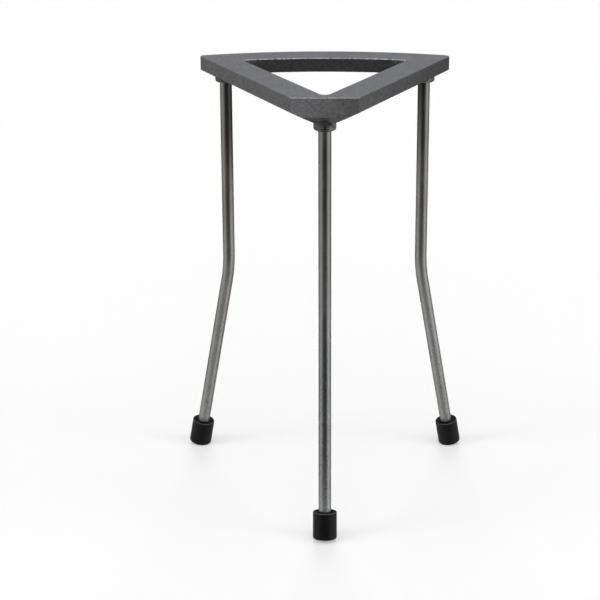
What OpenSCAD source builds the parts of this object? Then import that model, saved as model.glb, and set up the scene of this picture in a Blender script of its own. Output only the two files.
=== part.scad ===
// Tripod stand for a laboratory burner: a cast triangular ring on three bent rod legs with rubber feet.
// Millimetres, +Z up. The floor is z = 0, and the origin is the centre of the stand's footprint.

/* [Overall] */
// Height from the floor to the top face of the ring
height = 240; // [180:1:320]

/* [Ring] */
// Thickness of the ring
plate_t = 7.9; // [7:0.1:14]
// Width of the flat front corner
front_w = 35; // [30:1:42]
// How far each rear corner lies outside its leg's axis
corner_out = 15.4; // [12:0.1:20]
// How far each rear corner lies behind its leg's axis
corner_back = 4.8; // [2:0.1:8]
// How far the back edge bows out behind the rear corners
back_bow = 12; // [4:0.5:20]
// Width of the two side rails
rail_w = 17.2; // [14:0.1:20]
// Width of the bowed back rail
back_rail_w = 19.5; // [15:0.1:22]
// Radius of the rear corners
corner_r = 3; // [1:0.5:6]
// Radius of the corners of the opening
opening_r = 3; // [2:0.5:6]

/* [Bosses] */
// Diameter of the bosses that hold the legs
boss_d = 11.9; // [11:0.1:15]
// Height of the rear bosses below the ring
boss_rear_h = 6; // [4:0.5:9]
// Height of the front boss below the ring
boss_front_h = 10.5; // [8:0.5:14]
// Radius of the lower edge of each boss
boss_edge_r = 1.4; // [0.5:0.1:2]
// How far the flat front corner reaches below the ring
nose_drop = 2.3; // [1:0.1:4]
// Height of the flare that joins the front corner to its boss
flare_h = 5.4; // [4.5:0.1:7]
// Distance from the front boss's axis to the flat front corner
boss_setback = 7.5; // [6.5:0.1:10]
// Metal left between a leg socket and the top face
socket_cover = 4; // [3:0.5:5]
// Radial clearance of a leg in its socket
socket_fit = 0.05; // [0.02:0.01:0.2]

/* [Legs] */
// Diameter of the leg rods
rod_d = 6.8; // [5:0.1:8]
// Radius of the circle through the tops of the legs
leg_circle_r = 64.5; // [58:0.5:68]
// Radius of the circle where the leg axes meet the floor
foot_circle_r = 88; // [78:0.5:100]
// Height of the bend above the floor
bend_z = 116; // [90:1:150]
// Radius of the bend on the rod's centre line
bend_r = 80; // [30:1:120]
// How much the bend is drawn down below the rod's radius
bend_neck = 0.02; // [0.01:0.01:0.1]
// Chamfer on both ends of a rod
rod_chamfer = 0.6; // [0.2:0.1:1]

/* [Feet] */
// Diameter of a foot at its base
foot_d = 13; // [11:0.1:18]
// Diameter of a foot at its mouth
foot_top_d = 12.9; // [10.5:0.1:18]
// Length of a foot along its leg
foot_h = 15; // [12:0.5:24]
// Rubber under the end of the leg
foot_floor = 4; // [3:0.5:8]
// Radius of the lower edge of a foot
foot_edge_r = 1.2; // [0.6:0.1:2]
// Radius of the upper edge of a foot
foot_rim_r = 0.5; // [0.2:0.1:0.8]
// Width of the recess round the leg in a foot's mouth
mouth_gap = 0.5; // [0.2:0.1:1.2]
// Depth of that recess
mouth_depth = 1.2; // [0.5:0.1:3]
// Depth of the flat that the floor presses into a foot
foot_flat = 0.35; // [0.1:0.05:0.6]
// Radial clearance of a leg in its foot
foot_fit = 0.05; // [0.02:0.01:0.2]

/* [Hidden] */
$fn = 96;

// Directions of the three legs about the stand's axis
front_az = -90;
left_az = 150;
right_az = 30;

// Ring, seen from above, with the axis of the leg circle at [0, 0]
plate_z = height - plate_t;
front_y = -leg_circle_r - boss_setback;
corner_x = leg_circle_r * cos(right_az) + corner_out;
corner_y = leg_circle_r * sin(right_az) + corner_back;
back_y = corner_y + back_bow;
back_r = (pow(corner_x, 2) + pow(back_bow, 2)) / (2 * back_bow);
back_centre_y = back_y - back_r;
// Angle of the right rail to the X axis, and its outer edge's distance from the stand's axis
rail_angle = atan2(corner_y - front_y, corner_x - front_w / 2);
rail_reach = sin(rail_angle) * front_w / 2 - cos(rail_angle) * front_y;
boss_r = boss_d / 2;
socket_r = rod_d / 2 + socket_fit;
socket_top = height - socket_cover;
// The front boss stands in the corner of the opening, just under the top face
front_boss_cover = socket_cover - 1.5;
flare_r = norm([front_w / 2, boss_setback]) + 2;
flare_foot_r = boss_r * sqrt(2) + 0.2;

// Legs and feet
splay = atan((foot_circle_r - leg_circle_r) / bend_z);
bend_run = bend_r * tan(splay / 2);
foot_ring_r = foot_d / 2 - foot_edge_r;
foot_base = (foot_ring_r * sin(splay) + foot_edge_r - foot_flat) / cos(splay) - foot_edge_r;
rod_end = foot_base + foot_floor;
bend_top = bend_z + bend_run;
// The bend runs this far into the straight halves, as an angle at its centre
bend_lap = 0.5 / bend_r * 180 / PI;

// The footprint runs from the front foot to the rear feet or the back of the ring
ring_out = foot_circle_r - (foot_base + foot_edge_r) * sin(splay);
front_reach = ring_out + foot_ring_r * cos(splay) + foot_edge_r;
side_lean = sqrt(1 - pow(sin(splay) * sin(right_az), 2));
rear_foot_reach = ring_out * sin(right_az) + foot_ring_r * side_lean + foot_edge_r;
rear_reach = max(back_y, rear_foot_reach);
axis_y = (front_reach - rear_reach) / 2;

eps = 0.01;
far = 400;
// Rounded corners stand this far proud of the edges they join
proud = 0.01;

// Half-width of the region between the two straight rails, inset from their outer edges, at a given y
function half_width(y, inset) = (rail_reach - inset + cos(rail_angle) * y) / sin(rail_angle);

// Where the inset side line meets the inset back arc: the right-hand corner, or a fillet's centre there
function rear_corner(side_inset, back_inset) =
    let (
        r = back_r - back_inset,
        nx = sin(rail_angle),
        ny = -cos(rail_angle),
        d = rail_reach - side_inset - ny * back_centre_y,
        s = sqrt(r * r - d * d)
    )
    [nx * d - ny * s, back_centre_y + ny * d + nx * s];

// Moves a piece from its leg's own frame, with the splay along +X, to its place in the stand
module at_leg(az) {
    translate([0, axis_y, 0])
        rotate([0, 0, az])
            translate([leg_circle_r, 0, 0])
                children();
}

// Frame on the splayed half of a leg, with +Z up the rod and its origin where the rod's axis meets the floor
module on_splay() {
    translate([foot_circle_r - leg_circle_r, 0, 0])
        rotate([0, -splay, 0])
            children();
}

// Outline of the ring or of its opening, inset from the outer edges, with rounded rear corners
module rail_region(side_inset, back_inset, r, front) {
    c = rear_corner(side_inset + r, back_inset + r);
    side = c + r * [sin(rail_angle), -cos(rail_angle)];
    rear = c + r * (c - [0, back_centre_y]) / norm(c - [0, back_centre_y]);
    w = half_width(front, side_inset);
    intersection() {
        translate([0, back_centre_y])
            circle(r = back_r - back_inset);
        polygon([
            [-w, front], [w, front], side, rear, [rear[0], back_y], [-rear[0], back_y],
            [-rear[0], rear[1]], [-side[0], side[1]]
        ]);
    }
    for (sx = [-1, 1])
        translate([sx * c[0], c[1]])
            circle(r = r + proud);
}

// Opening of the ring, with its front corner rounded too
module opening_region() {
    tip_y = -(rail_reach - rail_w - opening_r) / cos(rail_angle);
    tangent_y = tip_y - opening_r * cos(rail_angle);
    rail_region(rail_w, back_rail_w, opening_r, tangent_y);
    translate([0, tip_y])
        circle(r = opening_r + proud);
}

// Boss with a rounded lower edge, from z = 0 up to h
module boss(h) {
    rotate_extrude() {
        square([boss_r - boss_edge_r, h]);
        translate([0, boss_edge_r])
            square([boss_r, h - boss_edge_r]);
        translate([boss_r - boss_edge_r, boss_edge_r])
            intersection() {
                circle(r = boss_edge_r);
                translate([0, -boss_edge_r])
                    square(boss_edge_r);
            }
    }
}

// Wedge under the flat front corner, which narrows down to the front boss
module nose_flare() {
    intersection() {
        // Front view of the wedge, as wide as the flat corner above and as the boss below
        translate([0, front_y + flare_r * 2, plate_z])
            rotate([90, 0, 0])
                linear_extrude(flare_r * 2)
                    polygon([
                        [-front_w / 2, 0], [-boss_r, -flare_h], [boss_r, -flare_h], [front_w / 2, 0],
                        [front_w / 2, plate_t / 2], [-front_w / 2, plate_t / 2]
                    ]);
        // Side view: flush with the flat corner for nose_drop, then sloping back to the boss
        translate([-front_w, 0, 0])
            rotate([90, 0, 90])
                linear_extrude(front_w * 2)
                    polygon([
                        [front_y, plate_z + plate_t / 2], [front_y, plate_z - nose_drop],
                        [front_y + boss_setback - boss_r, plate_z - flare_h],
                        [front_y + flare_r * 2, plate_z - flare_h],
                        [front_y + flare_r * 2, plate_z + plate_t / 2]
                    ]);
        // The back of the flare is round about the boss
        translate([0, -leg_circle_r, plate_z - flare_h])
            union() {
                cylinder(h = flare_h, r1 = flare_foot_r, r2 = flare_r);
                translate([0, 0, flare_h])
                    cylinder(h = plate_t / 2, r = flare_r);
            }
    }
}

// Straight rod from z = low to z = high
module rod(low, high) {
    translate([0, 0, low])
        cylinder(h = high - low, d = rod_d);
}

// One bent leg in its own frame: straight above the bend, splayed along +X below it
module leg() {
    union() {
        rod(bend_top, socket_top - rod_chamfer);
        translate([0, 0, socket_top - rod_chamfer])
            cylinder(h = rod_chamfer, d1 = rod_d, d2 = rod_d - 2 * rod_chamfer);
        translate([bend_r, 0, bend_top])
            rotate([90, 0, 0])
                rotate([0, 0, 180 - bend_lap])
                    rotate_extrude(angle = splay + 2 * bend_lap)
                        translate([bend_r, 0])
                            circle(r = rod_d / 2 - bend_neck);
        on_splay() {
            rod(rod_end + rod_chamfer, bend_z / cos(splay) - bend_run);
            translate([0, 0, rod_end])
                cylinder(h = rod_chamfer, d1 = rod_d - 2 * rod_chamfer, d2 = rod_d);
        }
    }
}

// Rubber cap on the end of a leg, in line with the rod and pressed flat where it meets the floor
module foot() {
    bore_r = rod_d / 2 + foot_fit;
    top_r = foot_top_d / 2;
    difference() {
        on_splay()
            translate([0, 0, foot_base])
                difference() {
                    union() {
                        rotate_extrude() {
                            square([foot_ring_r, foot_edge_r]);
                            translate([foot_ring_r, foot_edge_r])
                                intersection() {
                                    circle(r = foot_edge_r);
                                    translate([0, -foot_edge_r])
                                        square(foot_edge_r);
                                }
                        }
                        translate([0, 0, foot_edge_r])
                            cylinder(h = foot_h - foot_edge_r - foot_rim_r, d1 = foot_d, d2 = foot_top_d);
                        translate([0, 0, foot_h - foot_rim_r])
                            rotate_extrude() {
                                square([top_r - foot_rim_r, foot_rim_r]);
                                translate([top_r - foot_rim_r, 0])
                                    intersection() {
                                        circle(r = foot_rim_r);
                                        square(foot_rim_r);
                                    }
                            }
                    }
                    translate([0, 0, foot_floor])
                        cylinder(h = foot_h, r = bore_r);
                    translate([0, 0, foot_h - mouth_depth])
                        cylinder(h = mouth_depth + eps, r = bore_r + mouth_gap);
                }
        translate([-far / 2, -far / 2, -far])
            cube([far, far, far]);
    }
}

module top_plate() {
    color("dimgray")
        translate([0, axis_y, 0])
            difference() {
                union() {
                    difference() {
                        union() {
                            translate([0, 0, plate_z])
                                linear_extrude(plate_t)
                                    rail_region(0, 0, corner_r, front_y);
                            nose_flare();
                        }
                        translate([0, 0, plate_z - far / 2])
                            linear_extrude(far)
                                opening_region();
                    }
                    translate([0, -leg_circle_r, plate_z - boss_front_h])
                        boss(boss_front_h + plate_t - front_boss_cover);
                    difference() {
                        for (az = [left_az, right_az])
                            rotate([0, 0, az])
                                translate([leg_circle_r, 0, plate_z - boss_rear_h])
                                    boss(boss_rear_h + plate_t / 2);
                        translate([0, 0, plate_z])
                            linear_extrude(far)
                                opening_region();
                    }
                }
                for (az = [front_az, left_az, right_az])
                    rotate([0, 0, az])
                        translate([leg_circle_r, 0, plate_z - boss_front_h - eps])
                            cylinder(h = socket_top - plate_z + boss_front_h + eps, r = socket_r);
            }
}

module leg_front() {
    color("gray")
        at_leg(front_az)
            leg();
}

module leg_left() {
    color("gray")
        at_leg(left_az)
            leg();
}

module leg_right() {
    color("gray")
        at_leg(right_az)
            leg();
}

module foot_front() {
    color([0.1, 0.1, 0.1])
        at_leg(front_az)
            foot();
}

module foot_left() {
    color([0.1, 0.1, 0.1])
        at_leg(left_az)
            foot();
}

module foot_right() {
    color([0.1, 0.1, 0.1])
        at_leg(right_az)
            foot();
}

top_plate();
leg_front();
leg_left();
leg_right();
foot_front();
foot_left();
foot_right();
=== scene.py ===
import math

import bmesh
import bpy
import numpy as np
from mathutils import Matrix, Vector


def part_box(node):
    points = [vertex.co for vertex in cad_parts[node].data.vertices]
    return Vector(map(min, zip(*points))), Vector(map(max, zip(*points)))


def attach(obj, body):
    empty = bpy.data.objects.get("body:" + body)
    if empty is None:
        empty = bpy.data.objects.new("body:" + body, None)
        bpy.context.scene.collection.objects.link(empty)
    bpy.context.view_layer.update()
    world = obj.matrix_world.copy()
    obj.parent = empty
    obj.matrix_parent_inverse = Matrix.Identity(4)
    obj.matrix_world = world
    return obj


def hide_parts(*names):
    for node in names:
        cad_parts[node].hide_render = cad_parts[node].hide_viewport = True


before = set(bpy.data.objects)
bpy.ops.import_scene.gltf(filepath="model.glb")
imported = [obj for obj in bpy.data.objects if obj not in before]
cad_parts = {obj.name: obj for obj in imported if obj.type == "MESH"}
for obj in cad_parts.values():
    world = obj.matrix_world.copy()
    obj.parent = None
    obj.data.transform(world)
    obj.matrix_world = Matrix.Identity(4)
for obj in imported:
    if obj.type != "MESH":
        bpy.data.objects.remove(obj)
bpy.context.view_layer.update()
scene = bpy.context.scene
scene.view_settings.view_transform = "Standard"

LEGS = ("leg_front", "leg_left", "leg_right")
FEET = ("foot_front", "foot_left", "foot_right")


def new_object(name, data):
    obj = bpy.data.objects.new(name, data)
    scene.collection.objects.link(obj)
    return obj


# ---------------------------------------------------------------- camera
def make_camera():
    data = bpy.data.cameras.new("camera")
    data.lens = 107.0
    data.sensor_width = 36.0
    data.shift_x = -0.04141
    data.clip_end = 60.0
    camera = new_object("camera", data)
    camera.location = (0.0, -0.93636, 0.43854)
    camera.rotation_euler = (math.radians(70.907), 0.0, 0.0)
    scene.camera = camera


make_camera()


# ---------------------------------------------------------------- sizes and places, in metres
def leg_axes():
    """Where the three legs stand under the ring, from the upper ends of their meshes."""
    upper_end = 0.02
    out = []
    for name in LEGS:
        co = np.array([v.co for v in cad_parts[name].data.vertices])
        top = co[co[:, 2] > co[:, 2].max() - upper_end]
        low, high = top.min(axis=0), top.max(axis=0)
        out.append(((low[0] + high[0]) / 2, (low[1] + high[1]) / 2))
    return out


AXES = leg_axes()
MIDDLE = np.mean(AXES, axis=0)
LOW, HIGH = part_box("top_plate")
# The plate, without its bosses, lies between these heights, and its flat front is at NOSE_Y
PLATE_T = 0.0079
PLATE_TOP = HIGH[2]
PLATE_UNDER = PLATE_TOP - PLATE_T
NOSE_Y = LOW[1]
# A point that every wall of the opening faces, and the opening's right rear corner
HEART = (0.0, (LOW[1] + HIGH[1]) / 2 + 0.006, 0.0)
CORNER = (0.0444, 0.0441, 0.0)
# How far from a leg's axis its bore, its boss and the flare over the front boss reach
BORE_R = 0.0040
BOSS_R = 0.0070
FLARE_R = 0.0180
# Radius of the plate's rounded edges
EDGE_R = 0.0005
# Radius of the circles on which the legs stand, under the ring and on the floor
LEG_CIRCLE_R = 0.0645
FOOT_CIRCLE_R = 0.088
# Height of the bend, and how far the leg leans out below it
BEND_Z = 0.116
SPLAY = math.atan2(FOOT_CIRCLE_R - LEG_CIRCLE_R, BEND_Z)
# The feet's rounded rims lie above this height, and a foot reaches this far up along its leg
RIM_Z = 0.0125
MOUTH = 0.01574


# ---------------------------------------------------------------- node helpers
class Tree:
    """Adds and links the nodes of one material, or of the world."""

    def __init__(self, owner, output="ShaderNodeOutputMaterial"):
        owner.use_nodes = True
        self.nodes = owner.node_tree.nodes
        self.links = owner.node_tree.links
        self.nodes.clear()
        self.out = self.nodes.new(output)

    def add(self, kind, inputs=None, **settings):
        """A node whose inputs are given as values or as other nodes' outputs."""
        node = self.nodes.new(kind)
        for key, value in settings.items():
            setattr(node, key, value)
        for key, value in (inputs or {}).items():
            if isinstance(value, bpy.types.NodeSocket):
                self.links.new(value, node.inputs[key])
            else:
                node.inputs[key].default_value = value
        return node

    def show(self, shader):
        self.links.new(shader.outputs[0], self.out.inputs["Surface"])

    def place(self):
        """A point of the object, and the normal there."""
        coordinates = self.add("ShaderNodeTexCoord").outputs
        return coordinates["Object"], coordinates["Normal"]

    def coords(self, stretch=1.0):
        """Object coordinates for a texture. Below 1, stretch draws it out along Z."""
        inputs = {"Vector": self.place()[0], "Scale": (1.0, 1.0, stretch)}
        return self.add("ShaderNodeMapping", inputs).outputs["Vector"]

    def noise(self, at, scale, detail, rough):
        inputs = {"Vector": at, "Scale": scale, "Detail": detail, "Roughness": rough}
        return self.add("ShaderNodeTexNoise", inputs).outputs["Fac"]

    def span(self, value, low, high, to_low, to_high):
        """From to_low at low to to_high at high, in a straight line, and level beyond."""
        inputs = {"Value": value, "From Min": low, "From Max": high}
        inputs.update({"To Min": to_low, "To Max": to_high})
        return self.add("ShaderNodeMapRange", inputs).outputs["Result"]

    def ease(self, value, low, high):
        """0 at low, 1 at high, eased at both ends. It falls where low is the larger."""
        inputs = {"Value": value, "From Min": low, "From Max": high}
        node = self.add("ShaderNodeMapRange", inputs, interpolation_type="SMOOTHSTEP")
        return node.outputs["Result"]

    def vector(self, op, a, b=(0.0, 0.0, 0.0)):
        node = self.add("ShaderNodeVectorMath", {0: a, 1: b}, operation=op)
        return node.outputs["Value" if op in ("DOT_PRODUCT", "DISTANCE") else "Vector"]

    def split(self, vector):
        return self.add("ShaderNodeSeparateXYZ", {0: vector}).outputs[:]

    def math(self, op, a, *others):
        """The first value joined with each of the others in turn, or alone."""
        for b in others or (0.0,):
            a = self.add("ShaderNodeMath", {0: a, 1: b}, operation=op).outputs[0]
        return a

    def times(self, *values):
        return self.math("MULTIPLY", *values)

    def plus(self, *values):
        return self.math("ADD", *values)

    def rest(self, value):
        """What the value lacks to 1."""
        return self.math("SUBTRACT", 1.0, value)

    def mix(self, fac, a, b, blend="MIX"):
        """Colour a where fac is 0 and b where it is 1. Sockets 6 and 7 are the node's colours."""
        inputs = {"Factor": fac, 6: a, 7: b}
        return self.add("ShaderNodeMix", inputs, data_type="RGBA", blend_type=blend).outputs[2]

    def tint(self, base, by):
        return self.mix(1.0, base, by, "MULTIPLY")

    def grade(self, value, low, high, a, b):
        """Colour a where the value is low, colour b where it is high."""
        return self.mix(self.span(value, low, high, 0.0, 1.0), a, b)

    def inward(self, flat, centre, normal):
        """How squarely a face looks towards an upright line through the centre: 1 at most."""
        away = self.vector("NORMALIZE", self.vector("SUBTRACT", flat, centre))
        return self.times(self.vector("DOT_PRODUCT", away, normal), -1.0)

    def bump(self, height, distance, strength, under=None):
        inputs = {"Height": height, "Distance": distance, "Strength": strength}
        if under is not None:
            inputs["Normal"] = under
        return self.add("ShaderNodeBump", inputs).outputs["Normal"]

    def surface(self, inputs):
        self.show(self.add("ShaderNodeBsdfPrincipled", inputs))


def new_material(name):
    material = bpy.data.materials.new(name)
    return material, Tree(material)


def grey(value, warm=0.0):
    return (value * (1 + warm), value, value * (1 - warm), 1.0)


def dress(obj, material):
    obj.data.materials.clear()
    obj.data.materials.append(material)


# ---------------------------------------------------------------- casting
SKIN_DARK = (0.136, 0.137, 0.140, 1)
SKIN_LIGHT = (0.157, 0.158, 0.162, 1)
# Painted light: the top faces lighter and bluish, as the top lamp falls on them
TOP_LIGHT_TINT = (1.045, 1.055, 1.11, 1)


def turned_metal(t, pits, side, turned, downward, base):
    """Bare metal on the bosses and the flare, painted lighter to the right, with a painted dark
    reflection down the flare's centre.
    """
    dark_x, bright_x = -0.0035, 0.0045
    stripe_out, stripe_in = 0.0042, 0.0012
    metal = t.grade(pits, 0.3, 0.7, grey(0.12), grey(0.19))
    # Painted light: brighter to the right, darker to the left
    metal = t.tint(metal, t.grade(side, dark_x, bright_x, grey(0.72), grey(1.45)))
    # A painted dark reflection in a stripe down the centre of the flare
    reflection_stripe = t.ease(t.math("ABSOLUTE", side), stripe_out, stripe_in)
    metal = t.mix(t.times(reflection_stripe, downward), metal, grey(0.05))
    return t.mix(t.times(turned, 0.85), base, metal)


def opening_wall(t, pits, flat, high, facing, base):
    """Painted shade on the wall of the opening, with chips in its two rear corners."""
    wall = t.ease(facing, 0.25, 0.55)
    # Painted shade darkens the wall of the opening
    wall_shade = t.times(wall, t.ease(high, PLATE_UNDER - 0.0009, PLATE_UNDER - 0.0005), 0.92)
    base = t.mix(wall_shade, base, t.grade(pits, 0.3, 0.7, grey(0.012), grey(0.045)))
    corner = t.vector("DISTANCE", t.vector("ABSOLUTE", flat), CORNER)
    near = t.ease(corner, 0.0095, 0.0025)
    upper = t.ease(high, PLATE_TOP - 0.0052, PLATE_TOP - 0.0010)
    chips = t.times(near, upper, t.ease(pits, 0.40, 0.62), wall, 0.8)
    return t.mix(chips, base, grey(0.17))


def rubbed_edges_and_highlights(t, pits, high, tilt, facing, nose, base):
    """Upper edges rubbed bare and given a painted highlight: at the flat front, and more brightly round
    the opening.
    """
    # Partly wear, partly a painted highlight along the flat front's upper edge
    edge = t.times(t.ease(tilt, 0.40, 0.62), t.ease(tilt, 0.985, 0.93), nose)
    base = t.mix(t.times(edge, t.span(pits, 0.38, 0.56, 0.35, 1.0)), base, grey(0.46))
    # Partly wear, partly a painted highlight along the lip of the opening
    lip_wear_and_highlight = t.times(t.ease(tilt, 0.12, 0.34), t.ease(tilt, 0.992, 0.96), t.ease(facing, 0.08, 0.25))
    lip_wear_and_highlight = t.times(lip_wear_and_highlight, t.ease(high, PLATE_TOP - 0.0009, PLATE_TOP - 0.0006))
    return t.mix(t.times(lip_wear_and_highlight, t.span(pits, 0.36, 0.58, 0.22, 1.0)), base, grey(0.60))


def painted_side_shade(t, side, normal, nose, base):
    """Painted shade: the right rail darker towards the rear, and the flat front towards its right."""
    aside, ahead, tilt = t.split(normal)
    rail_from, rail_to, front_half = 0.022, 0.066, 0.013
    # Painted shade along the right rail
    rail = t.tint(base, t.grade(side, rail_from, rail_to, grey(0.92), grey(0.52)))
    base = t.mix(t.times(t.ease(aside, 0.45, 0.70), t.ease(tilt, 0.40, 0.10)), base, rail)
    # Painted shade across the flat front
    front = t.tint(base, t.grade(side, -front_half, front_half, grey(1.20), grey(0.70)))
    return t.mix(t.times(t.ease(ahead, -0.85, -0.97), nose), base, front)


def casting_material():
    """Grained grey iron, with painted shade in the opening and on the sides, rubbed edges with painted
    highlights, painted light on top and turned bosses.
    """
    m, t = new_material("cast_iron_grey")
    at = t.coords()
    grain = t.noise(at, 1500.0, 2.0, 0.6)
    pits = t.noise(at, 760.0, 3.0, 0.6)
    mottle = t.noise(at, 600.0, 4.0, 0.62)
    cloud = t.noise(at, 95.0, 3.0, 0.5)
    point, normal = t.place()
    side, deep, high = t.split(point)
    tilt = t.split(normal)[2]
    flat = t.vector("MULTIPLY", point, (1.0, 1.0, 0.0))
    facing = t.inward(flat, HEART, normal)
    nose = t.ease(deep, NOSE_Y + 0.0020, NOSE_Y + 0.0010)
    # The bosses are turned, and the flare over the front one is rubbed nearly as smooth
    reach = t.math("MINIMUM", *(t.vector("DISTANCE", flat, (x, y, 0.0)) for x, y in AXES))
    boss = t.ease(reach, BOSS_R + 0.0004, BOSS_R - 0.0004)
    downward = t.ease(tilt, -0.15, -0.40)
    flare = t.times(downward, t.ease(reach, FLARE_R + 0.001, FLARE_R - 0.001), 0.62)
    below = t.ease(high, PLATE_UNDER - 0.0002, PLATE_UNDER - 0.0008)
    turned = t.times(t.math("MAXIMUM", boss, flare), below)

    base = t.grade(cloud, 0.3, 0.7, SKIN_DARK, SKIN_LIGHT)
    # Painted light on the top faces
    base = t.mix(t.ease(tilt, 0.75, 0.95), base, t.tint(base, TOP_LIGHT_TINT))
    base = t.tint(base, t.grade(grain, 0.25, 0.75, grey(0.62), grey(1.38)))
    base = t.mix(t.span(pits, 0.52, 0.72, 0.0, 0.55), base, grey(0.080))
    base = turned_metal(t, pits, side, turned, downward, base)
    base = opening_wall(t, pits, flat, high, facing, base)
    base = rubbed_edges_and_highlights(t, pits, high, tilt, facing, nose, base)
    base = painted_side_shade(t, side, normal, nose, base)
    base = t.tint(base, t.grade(mottle, 0.3, 0.7, grey(0.82), grey(1.19)))

    skin = t.rest(t.times(turned, 0.85))
    relief = t.bump(pits, 0.00022, t.times(skin, 0.5))
    t.surface({
        "Base Color": base,
        "Metallic": t.times(turned, 0.95),
        "Roughness": t.span(turned, 0.0, 1.0, t.span(pits, 0.3, 0.7, 0.62, 0.76), 0.17),
        "Normal": t.bump(grain, 0.00010, t.times(skin, 0.6), relief),
        "Specular IOR Level": 0.30,
    })
    return m


# ---------------------------------------------------------------- rods
# Tints above the bend, where flame has warmed the steel, and below it: front, left and right leg
WARM = ((1.01, 1.0, 0.935, 1), (1.045, 1.0, 0.885, 1), (1.025, 1.0, 0.93, 1))
COOL = ((0.985, 1.0, 1.0, 1), (1.08, 1.08, 1.02, 1), (1.085, 1.08, 1.05, 1))
RUST = (1.09, 1.0, 0.96, 1)


def steel_colour(t, high, rear, right):
    """Steel: its grey and tint, by height and by leg, with a painted reflection of the floor low down.
    """
    # Painted reflection of the floor: lighter low down, and brighter still near the front foot
    steel = t.grade(high, 0.06, 0.21, grey(0.39), grey(0.305))
    bright = t.times(t.span(high, 0.055, 0.022, 0.0, 1.0), t.rest(rear))
    steel = t.tint(steel, t.mix(bright, grey(1.0), grey(1.17)))
    cool, warm = (t.mix(rear, tints[0], t.mix(right, *tints[1:])) for tints in (COOL, WARM))
    return t.tint(steel, t.grade(high, 0.120, 0.165, cool, warm))


def rod_material():
    """Drawn steel: painted shade close under the ring, a painted reflection of the floor low down,
    mottled and duller towards the foot.
    """
    m, t = new_material("drawn_steel")
    streak = t.noise(t.coords(0.05), 1500.0, 3.0, 0.6)
    spots = t.noise(t.coords(), 1000.0, 3.0, 0.65)
    cloud = t.noise(t.coords(0.35), 140.0, 3.0, 0.55)
    point, normal = t.place()
    side, deep, high = t.split(point)
    flat = t.vector("MULTIPLY", point, (1.0, 1.0, 0.0))
    centre = (MIDDLE[0], MIDDLE[1], 0.0)
    facing = t.inward(flat, centre, normal)
    rear = t.span(deep, 0.0, 0.03, 0.0, 1.0)
    right = t.span(side, -0.05, 0.05, 0.0, 1.0)

    base = steel_colour(t, high, rear, right)
    base = t.tint(base, t.grade(cloud, 0.3, 0.7, grey(0.86), grey(1.12)))
    base = t.tint(base, t.grade(streak, 0.3, 0.7, grey(0.90), grey(1.10)))
    worn = t.span(high, 0.12, 0.02, 0.25, 0.85)
    base = t.mix(t.times(t.span(spots, 0.52, 0.68, 0.0, 1.0), worn), base, grey(0.16))
    # A trace of rust on the inner side of the left leg, below the bend
    below = t.times(t.ease(high, 0.064, 0.080), t.ease(high, BEND_Z, BEND_Z - 0.008))
    rust = t.times(t.ease(facing, 0.60, 0.88), below, t.rest(right), t.ease(cloud, 0.25, 0.50))
    base = t.mix(rust, base, t.tint(base, RUST))
    # Painted shade on what faces the centre close under the ring, lower down on the left leg than on
    # the right
    lifted = t.math("SUBTRACT", high, t.times(side, 0.22))
    under_ring_shade = t.times(t.ease(facing, 0.28, 0.80), t.ease(lifted, 0.152, 0.222), 0.92)
    base = t.mix(under_ring_shade, base, grey(0.045, 0.06))
    # Painted shade where the rod enters the rubber, by the distance along the leg from the floor
    out = t.math("SUBTRACT", t.vector("DISTANCE", flat, centre), FOOT_CIRCLE_R)
    along = t.math("SUBTRACT", t.times(high, math.cos(SPLAY)), t.times(out, math.sin(SPLAY)))
    base = t.mix(t.ease(along, MOUTH + 0.0007, MOUTH - 0.0001), base, grey(0.02))

    dull = t.plus(
        t.span(high, 0.22, 0.10, 0.015, 0.045),
        t.span(high, 0.055, 0.015, 0.0, 0.20),
        t.times(rear, t.span(high, 0.220, 0.185, 0.01, 0.07)),
    )
    relief = t.bump(streak, 0.00004, 0.35)
    t.surface({
        "Base Color": base,
        "Metallic": t.rest(dull),
        "Roughness": t.plus(t.span(cloud, 0.3, 0.7, 0.21, 0.30), t.span(high, 0.045, 0.012, 0.0, 0.13)),
        "Normal": t.bump(spots, 0.00006, 0.3, relief),
        "Specular Tint": (0.25, 0.25, 0.25, 1),
    })
    return m


# ---------------------------------------------------------------- feet
def rubber_material():
    """Black moulded rubber, with a painted highlight on its upper rim, and dull on top."""
    m, t = new_material("black_rubber")
    at = t.coords()
    fine = t.noise(at, 1500.0, 3.0, 0.6)
    dust = t.noise(at, 420.0, 4.0, 0.65)
    point, normal = t.place()
    high, tilt = t.split(point)[2], t.split(normal)[2]
    # Painted highlight on the rounded upper rim
    rim = t.times(t.ease(tilt, 0.30, 0.50), t.ease(tilt, 0.95, 0.85))
    rim = t.times(rim, t.ease(high, RIM_Z - 0.0005, RIM_Z + 0.0005))
    base = t.grade(dust, 0.45, 0.75, grey(0.004), grey(0.009))
    smooth = t.span(dust, 0.3, 0.7, 0.36, 0.48)
    t.surface({
        "Base Color": t.mix(rim, base, grey(0.085)),
        "Roughness": t.span(t.ease(tilt, 0.90, 0.97), 0.0, 1.0, smooth, 0.66),
        "Normal": t.bump(fine, 0.00005, 0.5),
        "Specular IOR Level": 0.22,
    })
    return m


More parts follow.
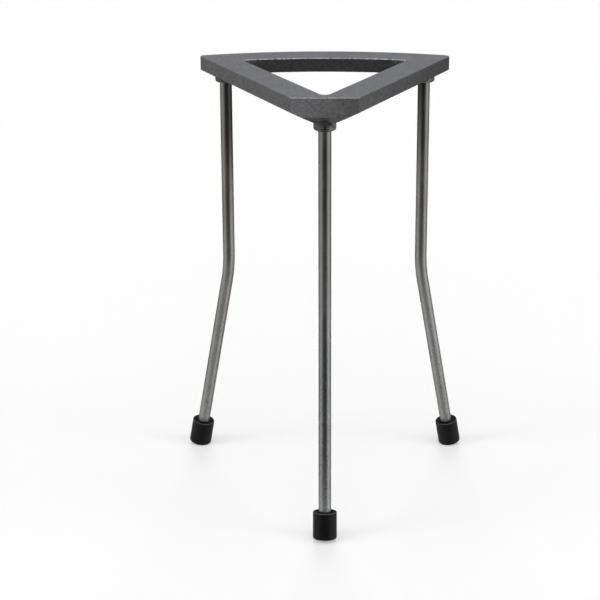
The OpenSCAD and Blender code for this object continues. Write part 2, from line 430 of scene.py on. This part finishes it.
# ---------------------------------------------------------------- pieces
def make_ring(material):
    """The casting with its edges rounded as the sand mould leaves them."""
    # Corners nearer than weld are one. Faces that meet at less than flat are one face, an edge
    # over sharp and above lowest is rounded, and an edge over crease is shaded as sharp.
    weld = 0.00002
    flat, sharp, crease = (math.radians(angle) for angle in (0.5, 30, 35))
    lowest = PLATE_UNDER - 0.0040
    bm = bmesh.new()
    bm.from_mesh(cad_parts["top_plate"].data)
    bmesh.ops.remove_doubles(bm, verts=bm.verts, dist=weld)
    bmesh.ops.dissolve_limit(
        bm, angle_limit=flat, verts=bm.verts, edges=bm.edges, delimit={"NORMAL"}
    )

    def in_bore(edge):
        return any(math.dist(v.co[:2], axis) < BORE_R for v in edge.verts for axis in AXES)

    def rounded(edge):
        """A sharp outer edge of the plate, and not one of a bore or of a boss's lower end."""
        if not edge.is_manifold or not edge.is_convex or edge.calc_face_angle() <= sharp:
            return False
        return all(v.co.z > lowest for v in edge.verts) and not in_bore(edge)

    edges = [edge for edge in bm.edges if rounded(edge)]
    bmesh.ops.bevel(
        bm, geom=edges, offset=EDGE_R, segments=3, profile=0.5, affect="EDGES", clamp_overlap=False
    )
    mesh = bpy.data.meshes.new("cast_ring")
    bm.to_mesh(mesh)
    bm.free()
    mesh.shade_smooth()
    mesh.set_sharp_from_angle(angle=crease)
    ring = new_object("cast_ring", mesh)
    even = ring.modifiers.new("even", "WEIGHTED_NORMAL")
    even.weight = 90
    even.keep_sharp = True
    dress(ring, material)
    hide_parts("top_plate")
    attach(ring, "root")


make_ring(casting_material())
for names, material in ((LEGS, rod_material()), (FEET, rubber_material())):
    for name in names:
        dress(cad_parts[name], material)


# ---------------------------------------------------------------- floor, world and lamps
# The floor's colour for light that lands on the object, its colour and own glow in the
# picture, and the strength of the world's light and of its white background
FLOOR_BOUNCE = 0.20
FLOOR_SEEN = 0.63
FLOOR_LIFT = 0.325
SKY = 0.15
BACKGROUND = 0.982
WHITE = (1, 1, 1, 1)

# Azimuth, elevation and spread in degrees, and level. Azimuth 0 is the camera's side and 90
# the right. Level 1 lights a white face to 1.
LAMPS = {
    "top_lamp": (0, 68, 90, 0.52),
    "left_lamp": (-71, 27, 28, 0.26),
    "right_lamp": (69, 25, 26, 0.19),
    "front_lamp": (0, 14, 60, 0.17),
    "back_lamp": (180, 28, 29, 0.39),
}

# Brightness of the tent by azimuth, level with the stand and low down. The dip low down on
# the right draws the dark line beside the left leg's right edge.
LEVEL = (
    (-180, 0.22), (-150, 0.30), (-120, 0.44), (-95, 0.60), (-70, 0.68), (-50, 0.40),
    (-32, 0.14), (-16, 0.03), (0, 0.02), (16, 0.03), (32, 0.15),
    (50, 0.60), (70, 1.00), (95, 0.75), (120, 0.46), (150, 0.32), (180, 0.22),
)
LOW_DOWN = (
    (-180, 0.34), (-152, 0.46), (-124, 0.68), (-90, 0.58), (-64, 0.78), (-41, 0.60),
    (-20, 0.42), (0, 0.36), (20, 0.42), (41, 0.60), (64, 0.78), (86, 0.60),
    (98, 0.55), (105, 0.16), (115, 0.16), (124, 0.68), (152, 0.46), (180, 0.34),
)
# Elevations of the tent's rows of corners. LOW_DOWN holds up to the first of LOW_ENDS, and
# LEVEL from the second.
ROWS = (-88, -60, -40, -28, -20, -10, 5, 25, 45, 62)
LOW_ENDS = (-28, -20)


def direction(azimuth, elevation):
    a, e = math.radians(azimuth), math.radians(elevation)
    return Vector((math.sin(a) * math.cos(e), -math.cos(a) * math.cos(e), math.sin(e)))


def make_floor():
    half, drop = 14.0, 0.00005
    mesh = bpy.data.meshes.new("floor")
    corners = [(-half, -half, 0), (half, -half, 0), (half, half, 0), (-half, half, 0)]
    mesh.from_pydata(corners, [], [(0, 1, 2, 3)])
    obj = new_object("floor", mesh)
    obj.location.z = -drop
    obj.visible_glossy = False
    m, t = new_material("pale_floor")
    path = t.add("ShaderNodeLightPath").outputs
    seen = t.math("MAXIMUM", path["Is Camera Ray"], path["Is Transmission Ray"])
    shade = t.mix(seen, grey(FLOOR_BOUNCE), grey(FLOOR_SEEN))
    matte = t.add("ShaderNodeBsdfDiffuse", {"Color": shade})
    glow = t.add("ShaderNodeEmission", {"Color": WHITE, "Strength": t.times(seen, FLOOR_LIFT)})
    both = t.add("ShaderNodeAddShader", {0: matte.outputs[0], 1: glow.outputs[0]})
    # Seen from below, the floor is clear, so that the underside can be looked at
    below = t.add("ShaderNodeNewGeometry").outputs["Backfacing"]
    clear = t.add("ShaderNodeBsdfTransparent")
    t.show(t.add("ShaderNodeMixShader", {0: below, 1: both.outputs[0], 2: clear.outputs[0]}))
    dress(obj, m)


def make_world():
    world = bpy.data.worlds.new("studio")
    scene.world = world
    t = Tree(world, "ShaderNodeOutputWorld")
    path = t.add("ShaderNodeLightPath").outputs
    kinds = ("Camera", "Glossy", "Transmission")
    seen = t.math("MAXIMUM", *(path[f"Is {kind} Ray"] for kind in kinds))
    soft, bright = (
        t.add("ShaderNodeBackground", {"Color": WHITE, "Strength": strength}).outputs[0]
        for strength in (SKY, BACKGROUND)
    )
    t.show(t.add("ShaderNodeMixShader", {0: seen, 1: soft, 2: bright}))


def make_lamp(name, azimuth, elevation, spread, level):
    """A soft lamp, so far away that its light is the same all over the object."""
    data = bpy.data.lights.new(name, "SUN")
    data.energy = level * math.pi
    data.angle = math.radians(spread)
    obj = new_object(name, data)
    obj.rotation_euler = direction(azimuth, elevation).to_track_quat("Z", "Y").to_euler()
    obj.visible_glossy = False


def make_tent():
    """A light tent, bright at both sides and dark towards the camera, that only reflections see."""
    panels, radius = 72, 6.0
    verts, shade = [], []
    for i in range(panels):
        azimuth = -180 + 360 * i / panels
        level, low = (np.interp(azimuth, *zip(*table)) for table in (LEVEL, LOW_DOWN))
        for up in ROWS:
            verts.append(direction(azimuth, up) * radius)
            shade.append(np.interp(up, LOW_ENDS, (low, level)))
    n = len(ROWS)
    faces = [
        (i * n + k, j * n + k, j * n + k + 1, i * n + k + 1)
        for i, j in ((i, (i + 1) % panels) for i in range(panels))
        for k in range(n - 1)
    ]
    mesh = bpy.data.meshes.new("tent")
    mesh.from_pydata(verts, [], faces)
    mesh.attributes.new("shade", "FLOAT", "POINT").data.foreach_set("value", shade)
    obj = new_object("tent", mesh)
    m, t = new_material("tent_panels")
    glow = t.add("ShaderNodeAttribute", attribute_name="shade").outputs["Fac"]
    t.show(t.add("ShaderNodeEmission", {"Color": WHITE, "Strength": glow}))
    dress(obj, m)
    obj.visible_camera = False
    obj.visible_diffuse = False
    obj.visible_shadow = False
    obj.visible_transmission = False


make_floor()
make_world()
for name, setting in LAMPS.items():
    make_lamp(name, *setting)
make_tent()
